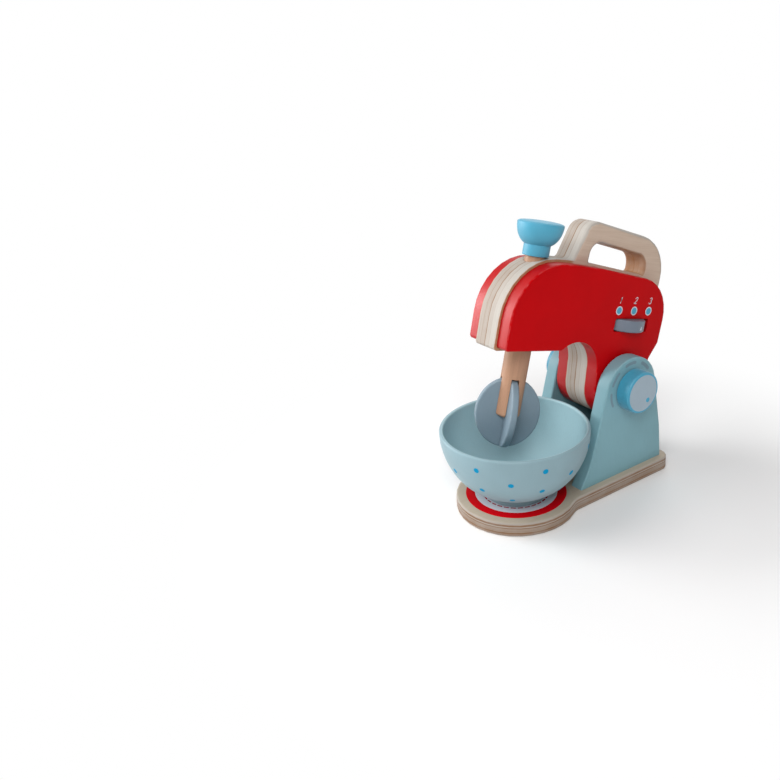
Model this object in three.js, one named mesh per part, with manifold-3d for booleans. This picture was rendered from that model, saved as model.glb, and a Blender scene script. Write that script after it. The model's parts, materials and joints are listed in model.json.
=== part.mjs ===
// A wooden toy mixer: a plywood base, a two-panel stand, a head that tips on the dial axle,
// a hand-turned beater with its knob, a thumbwheel switch and a loose turned bowl.
//
// Millimetres, +Z up. The origin is on the underside of the base, under the middle of the bowl's place.
// The nose points to -Y and the switch side to +X. The head is drawn level in its own group, whose
// origin is the middle of the axle, and that group is then tipped back by the resting tilt.

import * as THREE from 'three';
import { mergeVertices } from 'three/addons/utils/BufferGeometryUtils.js';
import Module from 'manifold-3d';

// Fits
const clearance = 0.3;         // between pieces that sit in or on each other
const overrun = 2;             // how far a cutter reaches past what it cuts
const edgeRound = 1.2;         // broken edge of the painted plywood
const roundSteps = 2;          // facets across a broken edge

// Base board
const baseThickness = 12;
const lobeRadius = 49.4;       // round front under the bowl
const neckRadius = 15;
const rearHalfWidth = 41;
const rearReach = 140;
const rearCornerRadius = 10;

// Stand
const panelThickness = 12;
const panelGap = 46;           // clear width between the two panels
const pivotReach = 94.5;       // axle behind the middle of the bowl
const pivotHeight = 74.7;      // axle above the top of the base
const archRadius = 28;
const frontLean = 15.6;        // degrees
const rearLean = 9.9;
const panelFrontReach = 39.2;
const panelRearReach = 132.7;
const flareHeight = 20;        // where the front edge starts to run out forward
const flareRadius = 60;
const rearBendRadius = 150;
const spacerThickness = 9;
const spacerInset = 3;         // the spacer stands in from the panels' rear edge
const spacerDrop = 22;         // its top below the axle

// Axle and dials
const axleRadius = 6;
const dialRadius = 17.5;
const dialThickness = 12.1;
const dialEdgeRound = 1.6;
const dialBackEdge = 0.6;
const dialBoreDepth = 8;
const dialGap = 0.4;           // running gap between a dial and its panel
const washerRadius = 12;
const washerThickness = 0.5;

// Head
const restTilt = 15;           // degrees, as the head stands
const coreThickness = 22;
const sideThickness = 11;
const columnRadius = 28.5;     // round lower end of the head, about the axle
const underside = 29.2;        // height of the side layers' flat underside above the axle
const noseReach = 129.9;
const noseRadius = 44;
const noseToeRound = 3;
const crownHeight = 95.3;      // level part of the side layers' top, over the axle
const crownReach = 60;         // the top starts to fall here
const crownShare = 0.6;        // share of the level top that bends into the fall
const topFall = 6.5;           // degrees the top falls towards the rear
const coreRise = 1.9;          // the core stands this far proud at the nose, top and underside
const shoulderRadius = 34;
const rearReachOfHead = 36.8;
const rearFootHeight = 34.8;
const rearFootRound = 3;
const rearUndercutReach = 29.6;
const rearUndercutHeight = 21;
const undercutRound = 6;
const notchRadius = 26.2;
const notchReach = 56;
const notchHeight = 10;

// Handle, part of the core
const handleFootReach = 67.5;
const handleFrontLean = 18.5;  // degrees
const handleTop = 130.3;       // height of the top edge over the foot
const handleFall = 8;          // degrees
const handleFrontRound = 12;
const handleFootRound = 4;
const handleToe = 12;          // the loop's root reaches this far in front of its foot
const handleRootHeight = 50;   // the loop's root inside the core
const gripFrontReach = 51.2;
const gripRearReach = 14;
const gripTop = 112.8;         // height of the finger gap over its front edge
const gripFrontRound = 9;
const gripRearRound = 12;
const gripFootRound = 2.5;
const gripFrontLean = 3;       // degrees
const handleEdgeRound = 2.6;

// Pins that hold the three layers of the head together
const layerDowelRadius = 4;
const layerDowelDepth = 6;     // into each side layer
const noseDowelReach = 118;    // in front of the axle
const noseDowelHeight = 50;
const middleDowelReach = 58;
const middleDowelHeight = 62;
const rearDowelReach = 14;     // behind the axle
const rearDowelHeight = 70;

// Knob, drive dowel and beater
const beaterReach = 97.3;      // beater axis in front of the axle
const beaterTurn = 60;         // degrees the crossed discs stand turned from the nose
const driveRadius = 7.8;
const driveSocketDepth = 16;   // into the knob
const shaftSocketDepth = 20;   // into the beater shaft
const knobRise = 0.4;          // running gap between the knob's neck and the crown of the core
const stemRadius = 10.1;       // the knob's neck
const stemHeight = 8.4;
const cupFootRadius = 12;
const cupRadius = 18;
const cupSwell = 12.5;         // height over which the cup widens
const cupHeight = 15;
const cupCrown = 1.2;
const cupEdgeRound = 1.5;
const shaftRadius = 10;
const shaftDrop = 1;           // running gap between the head's underside and the shaft
const shaftLength = 54.9;
const shaftEndRound = 2.5;
const shaftEdgeRound = 0.6;
const discWidth = 51.5;
const discHeight = 57;
const discThickness = 5.5;
const discTopDepth = 24.8;     // top of the discs below the core's underside
const discEdgeRound = 1.2;

// Thumbwheel switch
const windowLength = 38.7;
const windowHeight = 10.9;
const windowReach = -1.2;      // its middle, along the head from the axle
const windowMiddle = 49.7;     // its middle above the axle
const windowCornerRound = 1.5;
const wheelRadius = 18.8;
const wheelGap = 0.5;          // above and below the wheel, in its pocket
const wheelEdgeRound = 1;
const wheelRunGap = 0.7;       // between the wheel and the back of its pocket
const wheelPinRadius = 2.5;
const wheelPinSeat = 9;        // pin beyond the pocket, each way

// Bowl
const rimRadius = 60;
const rimHeight = 60.2;
const bowlWall = 3.3;
const bowlFootRadius = 25.5;
const bowlFootEdge = 1.2;      // the foot stands out this far below the wall
const bowlFootHeight = 3.5;
const bowlFootDish = 1.5;
const bowlSwellRadius = 13;    // the wall swells out from a ring of this radius
const bowlLift = 0.3;          // the foot lies this far above the board

// Wood screws from below into the panels
const screwHeadRadius = 4;
const screwHeadRim = 0.3;
const screwHeadHeight = 3;
const screwShankRadius = 1.9;
const screwLength = 30;
const screwTipLength = 5;
const screwSink = 0.6;         // head below the face of the base
const screwFrontReach = 62;
const screwRearReach = 118;
const recessWidth = 1.1;
const recessReach = 2.6;
const recessDepth = 1.8;

// Fineness: facets round the turned pieces, and steps along a quarter of an outline or profile
const bowlFacets = 56;
const bowlSteps = 9;
const rimSteps = 4;
const dialFacets = 40;
const knobFacets = 38;
const knobSteps = 5;
const dowelFacets = 22;
const screwFacets = 14;
const notchFacets = 48;
const outlineFacets = 8;
const smallSteps = 3;
const discFacets = 24;
const weldDistance = 0.00001;  // corners closer than this are one corner

// Worked out from the sizes above
const headHalf = coreThickness / 2 + sideThickness;
const panelInner = panelGap / 2;
const panelOuter = panelInner + panelThickness;
const pivotZ = baseThickness + pivotHeight;
const archTop = pivotHeight + archRadius;
const rimRound = bowlWall / 2;

const wasm = await Module();
wasm.setup();

const radians = (degrees) => THREE.MathUtils.degToRad(degrees);

// Solids

// Merges shared corners and drops the faces that have no area, so that the mesh is closed.
function closed(geometry) {
  const bare = geometry.clone();
  bare.deleteAttribute('normal');
  bare.deleteAttribute('uv');
  const merged = mergeVertices(bare, weldDistance);
  const kept = [];
  const index = merged.index.array;
  for (let i = 0; i < index.length; i += 3) {
    const [a, b, c] = [index[i], index[i + 1], index[i + 2]];
    if (a !== b && b !== c && c !== a) kept.push(a, b, c);
  }
  merged.setIndex(kept);
  return merged;
}

function toSolid(geometry) {
  const mesh = closed(geometry);
  return new wasm.Manifold(new wasm.Mesh({
    numProp: 3,
    vertProperties: new Float32Array(mesh.attributes.position.array),
    triVerts: new Uint32Array(mesh.index.array),
  }));
}

function toGeometry(solid) {
  const mesh = solid.getMesh();
  const geometry = new THREE.BufferGeometry();
  geometry.setAttribute('position', new THREE.BufferAttribute(mesh.vertProperties, 3));
  geometry.setIndex(new THREE.BufferAttribute(mesh.triVerts, 1));
  geometry.computeVertexNormals();
  return geometry;
}

function cut(geometry, ...cutters) {
  const solid = cutters.reduce((rest, cutter) => rest.subtract(toSolid(cutter)), toSolid(geometry));
  return toGeometry(solid);
}

function join(first, ...others) {
  const solid = others.reduce((whole, other) => whole.add(toSolid(other)), toSolid(first));
  return toGeometry(solid);
}

function common(first, second) {
  return toGeometry(toSolid(first).intersect(toSolid(second)));
}

function box(x0, x1, y0, y1, z0, z1) {
  const geometry = new THREE.BoxGeometry(x1 - x0, y1 - y0, z1 - z0);
  return geometry.translate((x0 + x1) / 2, (y0 + y1) / 2, (z0 + z1) / 2);
}

// A round bar along X, Y or Z from one place to another.
function bar(axis, radius, from, to, facets = dowelFacets) {
  const geometry = new THREE.CylinderGeometry(radius, radius, to - from, facets);
  geometry.translate(0, (from + to) / 2, 0);
  if (axis === 'x') geometry.rotateZ(-Math.PI / 2);
  if (axis === 'z') geometry.rotateX(Math.PI / 2);
  return geometry;
}

// A turned piece about Z from a profile of [radius, height] points, lowest first.
function turned(profile, facets) {
  const points = profile.map(([radius, height]) => new THREE.Vector2(radius, height));
  return new THREE.LatheGeometry(points, facets).rotateX(Math.PI / 2);
}

// Profile points along an oval between two directions, in degrees.
function ovalPoints(centre, across, up, from, to, steps) {
  return Array.from({ length: steps + 1 }, (_, i) => {
    const angle = radians(from + (to - from) * i / steps);
    return [centre[0] + across * Math.cos(angle), centre[1] + up * Math.sin(angle)];
  });
}

function arcPoints(centre, radius, from, to, steps) {
  return ovalPoints(centre, radius, radius, from, to, steps);
}

// Points along an arc from one angle to another, about as many to the quarter as asked.
function sweep(centre, radius, from, to, facets = outlineFacets) {
  const steps = Math.max(1, Math.round(facets * Math.abs(to - from) / (Math.PI / 2)));
  return Array.from({ length: steps + 1 }, (_, i) => {
    const angle = from + (to - from) * i / steps;
    return new THREE.Vector2(centre.x + radius * Math.cos(angle), centre.y + radius * Math.sin(angle));
  });
}

// Leaves out a point that lies on the one before it, and a last one that lies on the first.
function distinct(points) {
  const apart = (a, b) => a.distanceTo(b) > clearance / 100;
  const kept = points.filter((point, i) => i === 0 || apart(point, points[i - 1]));
  return apart(kept[0], kept[kept.length - 1]) ? kept : kept.slice(0, -1);
}

// Points round a closed outline given by corners [along, up, radius], each rounded by its radius.
function roundedPoints(corners, facets = outlineFacets) {
  const points = corners.flatMap(([u, v, radius], i) => {
    const here = new THREE.Vector2(u, v);
    if (!radius) return [here];
    const before = corners[(i + corners.length - 1) % corners.length];
    const after = corners[(i + 1) % corners.length];
    const back = new THREE.Vector2(before[0] - u, before[1] - v).normalize();
    const ahead = new THREE.Vector2(after[0] - u, after[1] - v).normalize();
    const half = Math.acos(THREE.MathUtils.clamp(back.dot(ahead), -1, 1)) / 2;
    const middle = here.clone().addScaledVector(back.clone().add(ahead).normalize(), radius / Math.sin(half));
    const start = here.clone().addScaledVector(back, radius / Math.tan(half)).sub(middle).angle();
    const turn = (Math.PI - 2 * half) * (back.cross(ahead) > 0 ? -1 : 1);
    return sweep(middle, radius, start, start + turn, facets);
  });
  return distinct(points);
}

function roundedOutline(corners, facets) {
  return new THREE.Shape(roundedPoints(corners, facets));
}

// A board with the given outline, lying between two heights, with broken edges where asked.
function board(shape, low, high, { roundLow = 0, roundHigh = 0 } = {}) {
  const round = Math.max(roundLow, roundHigh);
  if (!round) {
    const plain = new THREE.ExtrudeGeometry(shape, { depth: high - low, bevelEnabled: false });
    return plain.translate(0, 0, low);
  }
  const from = roundLow ? low : low - 2 * round;
  const to = roundHigh ? high : high + 2 * round;
  const whole = new THREE.ExtrudeGeometry(shape, {
    depth: to - from - 2 * round,
    bevelEnabled: true,
    bevelSize: round,
    bevelThickness: round,
    bevelOffset: -round,
    bevelSegments: roundSteps,
  });
  whole.translate(0, 0, from + round);
  if (roundLow && roundHigh) return whole;
  whole.computeBoundingBox();
  const size = whole.boundingBox;
  return common(whole, box(size.min.x - overrun, size.max.x + overrun, size.min.y - overrun,
    size.max.y + overrun, low, high));
}

// A board that stands: its outline is [along Y, up Z] and it lies between two places on X.
function standing(shape, left, right, options) {
  const upright = new THREE.Matrix4().makeBasis(
    new THREE.Vector3(0, 1, 0), new THREE.Vector3(0, 0, 1), new THREE.Vector3(1, 0, 0));
  return board(shape, left, right, options).applyMatrix4(upright);
}

// Materials

const finishes = {
  redPaint: { color: 0xb20c15, roughness: 0.38, metalness: 0 },
  bluePaint: { color: 0x8fb4bf, roughness: 0.42, metalness: 0 },
  tealPaint: { color: 0x3f9dbd, roughness: 0.36, metalness: 0 },
  greyPaint: { color: 0x7c8794, roughness: 0.42, metalness: 0 },
  plywood: { color: 0xd6c8b2, roughness: 0.6, metalness: 0 },
  beech: { color: 0xc9a988, roughness: 0.55, metalness: 0 },
  zincSteel: { color: 0xb9bcc0, roughness: 0.35, metalness: 1 },
  fibre: { color: 0x3c3a38, roughness: 0.7, metalness: 0 },
};

const materials = Object.fromEntries(Object.entries(finishes).map(
  ([name, look]) => [name, new THREE.MeshStandardMaterial({ name, ...look })]));

function piece(name, geometry, material) {
  const mesh = new THREE.Mesh(geometry, materials[material]);
  mesh.name = name;
  return mesh;
}

// Base

function baseOutline() {
  const neckX = rearHalfWidth + neckRadius;
  const neckY = Math.sqrt((lobeRadius + neckRadius) ** 2 - neckX ** 2);
  const neckAngle = Math.atan2(neckY, neckX);
  const corner = new THREE.Vector2(rearHalfWidth - rearCornerRadius, rearReach - rearCornerRadius);
  const half = [
    ...sweep(new THREE.Vector2(0, 0), lobeRadius, -Math.PI / 2, neckAngle),
    ...sweep(new THREE.Vector2(neckX, neckY), neckRadius, Math.PI + neckAngle, Math.PI),
    ...sweep(corner, rearCornerRadius, 0, Math.PI / 2),
  ];
  const other = half.map((point) => new THREE.Vector2(-point.x, point.y)).reverse();
  return new THREE.Shape(distinct([...half, ...other]));
}

// Screw places: one row under each panel.
const screwX = panelInner + panelThickness / 2;
const screwPlaces = {
  left_front: [-screwX, screwFrontReach],
  left_rear: [-screwX, screwRearReach],
  right_front: [screwX, screwFrontReach],
  right_rear: [screwX, screwRearReach],
};

// The screw's own shape, its head at the bottom; grown on all sides it is also the hole's.
function screwProfile(grow) {
  const head = screwSink - (grow ? screwSink + overrun : 0);
  const shoulder = screwSink + screwHeadHeight + grow;
  return [
    [0, head],
    [screwHeadRadius + grow, head],
    [screwHeadRadius + grow, screwSink + screwHeadRim],
    [screwShankRadius + grow, shoulder],
    [screwShankRadius + grow, screwSink + screwLength - screwTipLength + grow],
    [0, screwSink + screwLength + grow],
  ];
}

function screwHole([x, y]) {
  return turned(screwProfile(clearance), screwFacets).translate(x, y, 0);
}

function screw([x, y]) {
  const body = turned(screwProfile(0), screwFacets);
  const low = screwSink - overrun;
  const high = screwSink + recessDepth;
  const cross = [
    box(-recessReach, recessReach, -recessWidth / 2, recessWidth / 2, low, high),
    box(-recessWidth / 2, recessWidth / 2, -recessReach, recessReach, low, high),
  ];
  return cut(body, ...cross).translate(x, y, 0);
}

function makeBase() {
  const holes = Object.values(screwPlaces).map(screwHole);
  const plate = board(baseOutline(), 0, baseThickness, { roundLow: edgeRound, roundHigh: edgeRound });
  return piece('base_board', cut(plate, ...holes), 'plywood');
}

function makeScrews() {
  return Object.entries(screwPlaces).map(
    ([place, at]) => piece(`base_screw_${place}`, screw(at), 'zincSteel'));
}

// Stand

// Where the leaning front and rear edges, which touch the arch, are at a height above the base.
function frontEdgeAt(height) {
  const lean = radians(frontLean);
  const down = (pivotHeight + archRadius * Math.sin(lean) - height) / Math.cos(lean);
  return pivotReach - archRadius * Math.cos(lean) - down * Math.sin(lean);
}

function rearEdgeAt(height) {
  const lean = radians(rearLean);
  const down = (pivotHeight + archRadius * Math.sin(lean) - height) / Math.cos(lean);
  return pivotReach + archRadius * Math.cos(lean) + down * Math.sin(lean);
}

// The height at which the leaning rear edge reaches the upright part below it.
function rearBendHeight() {
  const slope = rearEdgeAt(0) - rearEdgeAt(pivotHeight);
  return (rearEdgeAt(0) - panelRearReach) * pivotHeight / slope;
}

function panelOutline() {
  return roundedOutline([
    [panelFrontReach, 0, 0],
    [panelRearReach, 0, 0],
    [panelRearReach, rearBendHeight(), rearBendRadius],
    [rearEdgeAt(archTop), archTop, archRadius],
    [frontEdgeAt(archTop), archTop, archRadius],
    [frontEdgeAt(flareHeight), flareHeight, flareRadius],
  ]);
}

function panel(left, right) {
  const plate = standing(panelOutline(), left, right, { roundLow: edgeRound, roundHigh: edgeRound });
  const foot = box(left - overrun, right + overrun, panelFrontReach - overrun, panelRearReach + overrun,
    edgeRound, archTop + overrun);
  const raised = common(plate, foot).translate(0, 0, baseThickness - edgeRound);
  const bore = bar('x', axleRadius + clearance, left - overrun, right + overrun)
    .translate(0, pivotReach, pivotZ);
  const side = left < 0 ? 'left' : 'right';
  const holes = ['front', 'rear'].map((end) => screwHole(screwPlaces[`${side}_${end}`]));
  return cut(raised, bore, ...holes);
}

function makeSpacer() {
  const rear = panelRearReach - spacerInset;
  const high = pivotHeight - spacerDrop;
  const shape = roundedOutline([
    [rear - spacerThickness, 0, 0],
    [rear, 0, 0],
    [rearEdgeAt(high) - spacerInset, high, edgeRound],
    [rearEdgeAt(high) - spacerInset - spacerThickness, high, edgeRound],
  ]);
  return standing(shape, -panelInner, panelInner).translate(0, 0, baseThickness);
}

function makeStand() {
  return [
    piece('stand_side_left', panel(-panelOuter, -panelInner), 'bluePaint'),
    piece('stand_side_right', panel(panelInner, panelOuter), 'bluePaint'),
    piece('stand_spacer', makeSpacer(), 'bluePaint'),
  ];
}

// Axle, dials and washers

function dial(side) {
  const roundMiddle = [dialRadius - dialEdgeRound, dialThickness - dialEdgeRound];
  const profile = [
    [0, 0],
    [dialRadius - dialBackEdge, 0],
    [dialRadius, dialBackEdge],
    ...arcPoints(roundMiddle, dialEdgeRound, 0, 90, smallSteps),
    [0, dialThickness],
  ];
  const socket = bar('z', axleRadius + clearance, -overrun, dialBoreDepth);
  const knob = cut(turned(profile, dialFacets), socket);
  knob.rotateY(side * Math.PI / 2);
  return knob.translate(side * (panelOuter + dialGap), pivotReach, pivotZ);
}

function washer(side) {
  const middle = side * (headHalf + panelInner) / 2;
  const from = middle - washerThickness / 2;
  const to = middle + washerThickness / 2;
  const ring = bar('x', washerRadius, from, to);
  const bore = bar('x', axleRadius + clearance, from - overrun, to + overrun);
  return cut(ring, bore).translate(0, pivotReach, pivotZ);
}

function makeAxle() {
  const reach = panelOuter + dialGap + dialBoreDepth - clearance;
  const axle = bar('x', axleRadius, -reach, reach).translate(0, pivotReach, pivotZ);
  return [
    piece('pivot_axle', axle, 'beech'),
    piece('dial_left', dial(-1), 'tealPaint'),
    piece('dial_right', dial(1), 'tealPaint'),
    piece('pivot_washer_left', washer(-1), 'fibre'),
    piece('pivot_washer_right', washer(1), 'fibre'),
  ];
}

// Head, drawn level about the axle

// The falling part of the core's top, behind the crown.
function coreTopAt(reach) {
  return crownHeight + coreRise - (reach + crownReach) * Math.tan(radians(topFall));
}

// Outline of a layer that stands that far proud of the side layers. The block over the notch's middle
// is cleared by the notch itself.
function layerOutline(proud) {
  const crown = crownHeight + proud;
  const nose = noseReach + proud;
  const below = underside - proud;
  const levelTop = noseReach - noseRadius - crownReach;
  const crownRadius = levelTop * crownShare / Math.tan(radians(topFall / 2));
  const shoulder = crown - (rearReachOfHead + crownReach) * Math.tan(radians(topFall));
  return roundedOutline([
    [-nose, below, noseToeRound],
    [-notchReach, below, 0],
    [-notchReach, notchHeight, 0],
    [notchRadius - notchReach, notchHeight, 0],
    [-columnRadius, 0, 0],
    [-columnRadius, -columnRadius, columnRadius],
    [columnRadius, -columnRadius, columnRadius],
    [columnRadius, 0, 0],
    [rearUndercutReach, rearUndercutHeight, undercutRound],
    [rearReachOfHead, rearFootHeight, rearFootRound],
    [rearReachOfHead, shoulder, shoulderRadius],
    [-crownReach, crown, crownRadius],
    [-nose, crown, noseRadius + proud],
  ]);
}

function handleTopAt(reach) {
  return handleTop - (reach + handleFootReach) * Math.tan(radians(handleFall));
}

// The loop of the handle, rooted inside the core; its rear leg runs down the head's rear edge.
function handleOutline() {
  const foot = crownHeight + coreRise;
  const shift = (handleTop - foot) * Math.tan(radians(handleFrontLean));
  const crest = shift - handleFootReach;
  const toe = -handleFootReach - handleToe;
  const shape = roundedOutline([
    [rearReachOfHead, handleRootHeight, 0],
    [rearReachOfHead, handleTopAt(rearReachOfHead), shoulderRadius],
    [crest, handleTopAt(crest), handleFrontRound],
    [-handleFootReach, foot, handleFootRound],
    [toe, foot, 0],
    [toe, handleRootHeight, 0],
  ]);
  shape.holes.push(new THREE.Path(gripPoints()));
  return shape;
}

// The finger gap: its lower edge follows the core's top.
function gripPoints() {
  const topAt = (reach) => gripTop - (reach + gripFrontReach) * Math.tan(radians(handleFall));
  const frontShift = (gripTop - coreTopAt(-gripFrontReach)) * Math.tan(radians(gripFrontLean));
  return roundedPoints([
    [-gripFrontReach, coreTopAt(-gripFrontReach), gripFootRound],
    [gripRearReach, coreTopAt(gripRearReach), gripFootRound],
    [gripRearReach, topAt(gripRearReach), gripRearRound],
    [frontShift - gripFrontReach, topAt(frontShift - gripFrontReach), gripFrontRound],
  ]);
}

function notch() {
  return bar('x', notchRadius, -headHalf - overrun, headHalf + overrun, notchFacets)
    .translate(0, -notchReach, notchHeight);
}

function axleBore() {
  return bar('x', axleRadius + clearance, -headHalf - overrun, headHalf + overrun);
}

// Places of the pins that tie the layers, along the head and above the axle.
const layerDowelPlaces = {
  nose: [-noseDowelReach, noseDowelHeight],
  middle: [-middleDowelReach, middleDowelHeight],
  rear: [rearDowelReach, rearDowelHeight],
};

// Bores for those pins, blind in the side layers.
function layerDowelBores() {
  const reach = coreThickness / 2 + layerDowelDepth;
  return Object.values(layerDowelPlaces).map(
    ([along, up]) => bar('x', layerDowelRadius + clearance, -reach, reach).translate(0, along, up));
}

function driveBore() {
  return bar('z', driveRadius + clearance, -columnRadius, handleTop).translate(0, -beaterReach, 0);
}

// The wheel turns about the joint between the core and the right layer.
const wheelX = coreThickness / 2;

function wheelPocket() {
  const low = windowMiddle - windowHeight / 2;
  const pocket = bar('z', wheelRadius + wheelRunGap, low, low + windowHeight, dialFacets);
  return pocket.translate(wheelX, windowReach, 0);
}

function windowCut() {
  const half = windowLength / 2;
  const low = windowMiddle - windowHeight / 2;
  const high = low + windowHeight;
  const shape = roundedOutline([
    [windowReach - half, low, windowCornerRound],
    [windowReach + half, low, windowCornerRound],
    [windowReach + half, high, windowCornerRound],
    [windowReach - half, high, windowCornerRound],
  ], smallSteps);
  return standing(shape, wheelX - overrun, headHalf + overrun);
}

function wheelPinBore() {
  const reach = windowHeight / 2 + wheelPinSeat + clearance;
  return bar('z', wheelPinRadius + clearance, windowMiddle - reach, windowMiddle + reach)
    .translate(wheelX, windowReach, 0);
}

function makeCore() {
  const half = coreThickness / 2;
  const flush = standing(layerOutline(coreRise), -half, half);
  const loop = standing(handleOutline(), -half, half, { roundLow: handleEdgeRound, roundHigh: handleEdgeRound });
  const gripClear = standing(new THREE.Shape(gripPoints()), -half - overrun, half + overrun);
  const whole = join(cut(flush, gripClear), loop);
  return cut(whole, notch(), axleBore(), driveBore(), wheelPocket(), wheelPinBore(), ...layerDowelBores());
}

function makeSide(side) {
  const inner = coreThickness / 2;
  const shape = layerOutline(0);
  const plate = side > 0
    ? standing(shape, inner, headHalf, { roundHigh: edgeRound })
    : standing(shape, -headHalf, -inner, { roundLow: edgeRound });
  const cutters = [notch(), axleBore(), ...layerDowelBores()];
  if (side > 0) cutters.push(windowCut(), wheelPinBore());
  return cut(plate, ...cutters);
}

function makeLayerDowels() {
  const reach = coreThickness / 2 + layerDowelDepth - clearance;
  return Object.entries(layerDowelPlaces).map(([name, [along, up]]) => {
    const dowel = bar('x', layerDowelRadius, -reach, reach).translate(0, along, up);
    return piece(`head_dowel_${name}`, dowel, 'beech');
  });
}

// Switch

function makeWheel() {
  const half = windowHeight / 2 - wheelGap;
  const profile = [
    [0, -half],
    [wheelRadius - wheelEdgeRound, -half],
    [wheelRadius, wheelEdgeRound - half],
    [wheelRadius, half - wheelEdgeRound],
    [wheelRadius - wheelEdgeRound, half],
    [0, half],
  ];
  const bore = bar('z', wheelPinRadius + clearance, -half - overrun, half + overrun);
  return cut(turned(profile, dialFacets), bore).translate(wheelX, windowReach, windowMiddle);
}

function makeWheelPin() {
  const reach = windowHeight / 2 + wheelPinSeat;
  return bar('z', wheelPinRadius, windowMiddle - reach, windowMiddle + reach)
    .translate(wheelX, windowReach, 0);
}

// Beater: knob, drive dowel, shaft and the two crossed discs, all turning about one axis

const knobFoot = crownHeight + coreRise + knobRise;
const coreUnderside = underside - coreRise;
const shaftTop = coreUnderside - shaftDrop;
const shaftBottom = shaftTop - shaftLength;
const discTop = coreUnderside - discTopDepth;
const discMiddle = discTop - discHeight / 2;

function makeKnob() {
  const cupFoot = knobFoot + stemHeight;
  const cupTop = cupFoot + cupHeight;
  const cupShare = (cupRadius - cupEdgeRound) / cupRadius;
  const profile = [
    [0, knobFoot],
    [stemRadius - shaftEdgeRound, knobFoot],
    [stemRadius, knobFoot + shaftEdgeRound],
    [stemRadius, cupFoot],
    ...ovalPoints([cupFootRadius, cupFoot + cupSwell], cupRadius - cupFootRadius, cupSwell, -90, 0, knobSteps),
    ...arcPoints([cupRadius - cupEdgeRound, cupTop], cupEdgeRound, 0, 90, smallSteps),
    ...ovalPoints([0, cupTop + cupEdgeRound], cupRadius * cupShare, cupCrown, 0, 90, smallSteps).slice(1),
  ];
  const socket = bar('z', driveRadius + clearance, knobFoot - overrun, knobFoot + driveSocketDepth);
  return cut(turned(profile, knobFacets), socket);
}

function makeDriveDowel() {
  const low = shaftTop - shaftSocketDepth + clearance;
  const high = knobFoot + driveSocketDepth - clearance;
  return bar('z', driveRadius, low, high);
}

function discSlot(turn, from, to) {
  const half = discThickness / 2 + clearance;
  return box(-discWidth, discWidth, -half, half, from, to).rotateZ(radians(turn));
}

function makeShaft() {
  const profile = [
    [0, shaftBottom],
    ...arcPoints([shaftRadius - shaftEndRound, shaftBottom + shaftEndRound], shaftEndRound, -90, 0, smallSteps),
    [shaftRadius, shaftTop - shaftEdgeRound],
    [shaftRadius - shaftEdgeRound, shaftTop],
    [0, shaftTop],
  ];
  const socket = bar('z', driveRadius + clearance, shaftTop - shaftSocketDepth, shaftTop + overrun);
  const slots = [0, 90].map((turn) => discSlot(turn, shaftBottom - overrun, discTop + clearance));
  return cut(turned(profile, dialFacets), socket, ...slots);
}

// An oval plate in the XZ plane, halved above or below its middle for its crossed neighbour.
function disc(slotFrom, slotTo) {
  const oval = new THREE.Shape();
  oval.absellipse(0, discMiddle, discWidth / 2, discHeight / 2, 0, 2 * Math.PI);
  const plate = board(new THREE.Shape(distinct(oval.getPoints(discFacets))), -discThickness / 2,
    discThickness / 2, { roundLow: discEdgeRound, roundHigh: discEdgeRound });
  return cut(plate.rotateX(Math.PI / 2), discSlot(90, slotFrom, slotTo));
}

function makeBeater() {
  const beater = new THREE.Group();
  beater.position.set(0, -beaterReach, 0);
  beater.rotation.z = radians(beaterTurn);
  const discA = piece('beater_disc_a', disc(discMiddle - clearance / 2, discTop + overrun), 'greyPaint');
  const discB = piece('beater_disc_b', disc(discTop - discHeight - overrun, discMiddle + clearance / 2), 'greyPaint');
  discB.rotation.z = Math.PI / 2;
  beater.add(
    piece('top_knob', makeKnob(), 'tealPaint'),
    piece('drive_dowel', makeDriveDowel(), 'beech'),
    piece('beater_shaft', makeShaft(), 'beech'),
    discA,
    discB,
  );
  return beater;
}

function makeHead() {
  const head = new THREE.Group();
  head.position.set(0, pivotReach, pivotZ);
  head.rotation.x = -radians(restTilt);
  head.add(
    piece('head_core', makeCore(), 'plywood'),
    piece('head_side_left', makeSide(-1), 'redPaint'),
    piece('head_side_right', makeSide(1), 'redPaint'),
    ...makeLayerDowels(),
    piece('speed_wheel', makeWheel(), 'greyPaint'),
    piece('wheel_pin', makeWheelPin(), 'zincSteel'),
    makeBeater(),
  );
  return head;
}

// Bowl

// The wall swells from the foot to the rim as a quarter oval; inset gives the inner face.
function bowlWallPoints(inset, from, to) {
  const middle = [bowlSwellRadius, rimHeight - rimRound];
  const across = rimRadius - bowlSwellRadius - inset;
  const down = rimHeight - rimRound - bowlFootHeight - inset;
  return ovalPoints(middle, across, -down, from, to, bowlSteps);
}

function makeBowl() {
  const rimMiddle = [rimRadius - bowlWall / 2, rimHeight - rimRound];
  const footShare = (bowlFootRadius - bowlFootEdge - bowlSwellRadius) / (rimRadius - bowlSwellRadius);
  const profile = [
    [0, bowlFootDish],
    [bowlFootRadius - bowlWall - bowlFootDish, bowlFootDish],
    [bowlFootRadius - bowlWall, 0],
    [bowlFootRadius, 0],
    [bowlFootRadius, bowlFootHeight / 2],
    ...bowlWallPoints(0, THREE.MathUtils.radToDeg(Math.acos(footShare)), 0),
    ...arcPoints(rimMiddle, rimRound, 0, 180, rimSteps).slice(1, -1),
    ...bowlWallPoints(bowlWall, 0, 90),
    [0, bowlFootHeight + bowlWall],
  ];
  return turned(profile, bowlFacets).translate(0, 0, baseThickness + bowlLift);
}

const mixer = new THREE.Group();
mixer.add(
  makeBase(),
  ...makeScrews(),
  ...makeStand(),
  ...makeAxle(),
  makeHead(),
  piece('bowl', makeBowl(), 'bluePaint'),
);

export default mixer;
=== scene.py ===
"""Finishes, printed marks, turned surfaces and studio for the wooden toy mixer.

Everything is in metres in the frame of the packed part: +Z up, the nose and the bowl towards -Y, and the
thumbwheel towards +X. The panel in the 3D view's sidebar lists the steps and what they use.
"""

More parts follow.
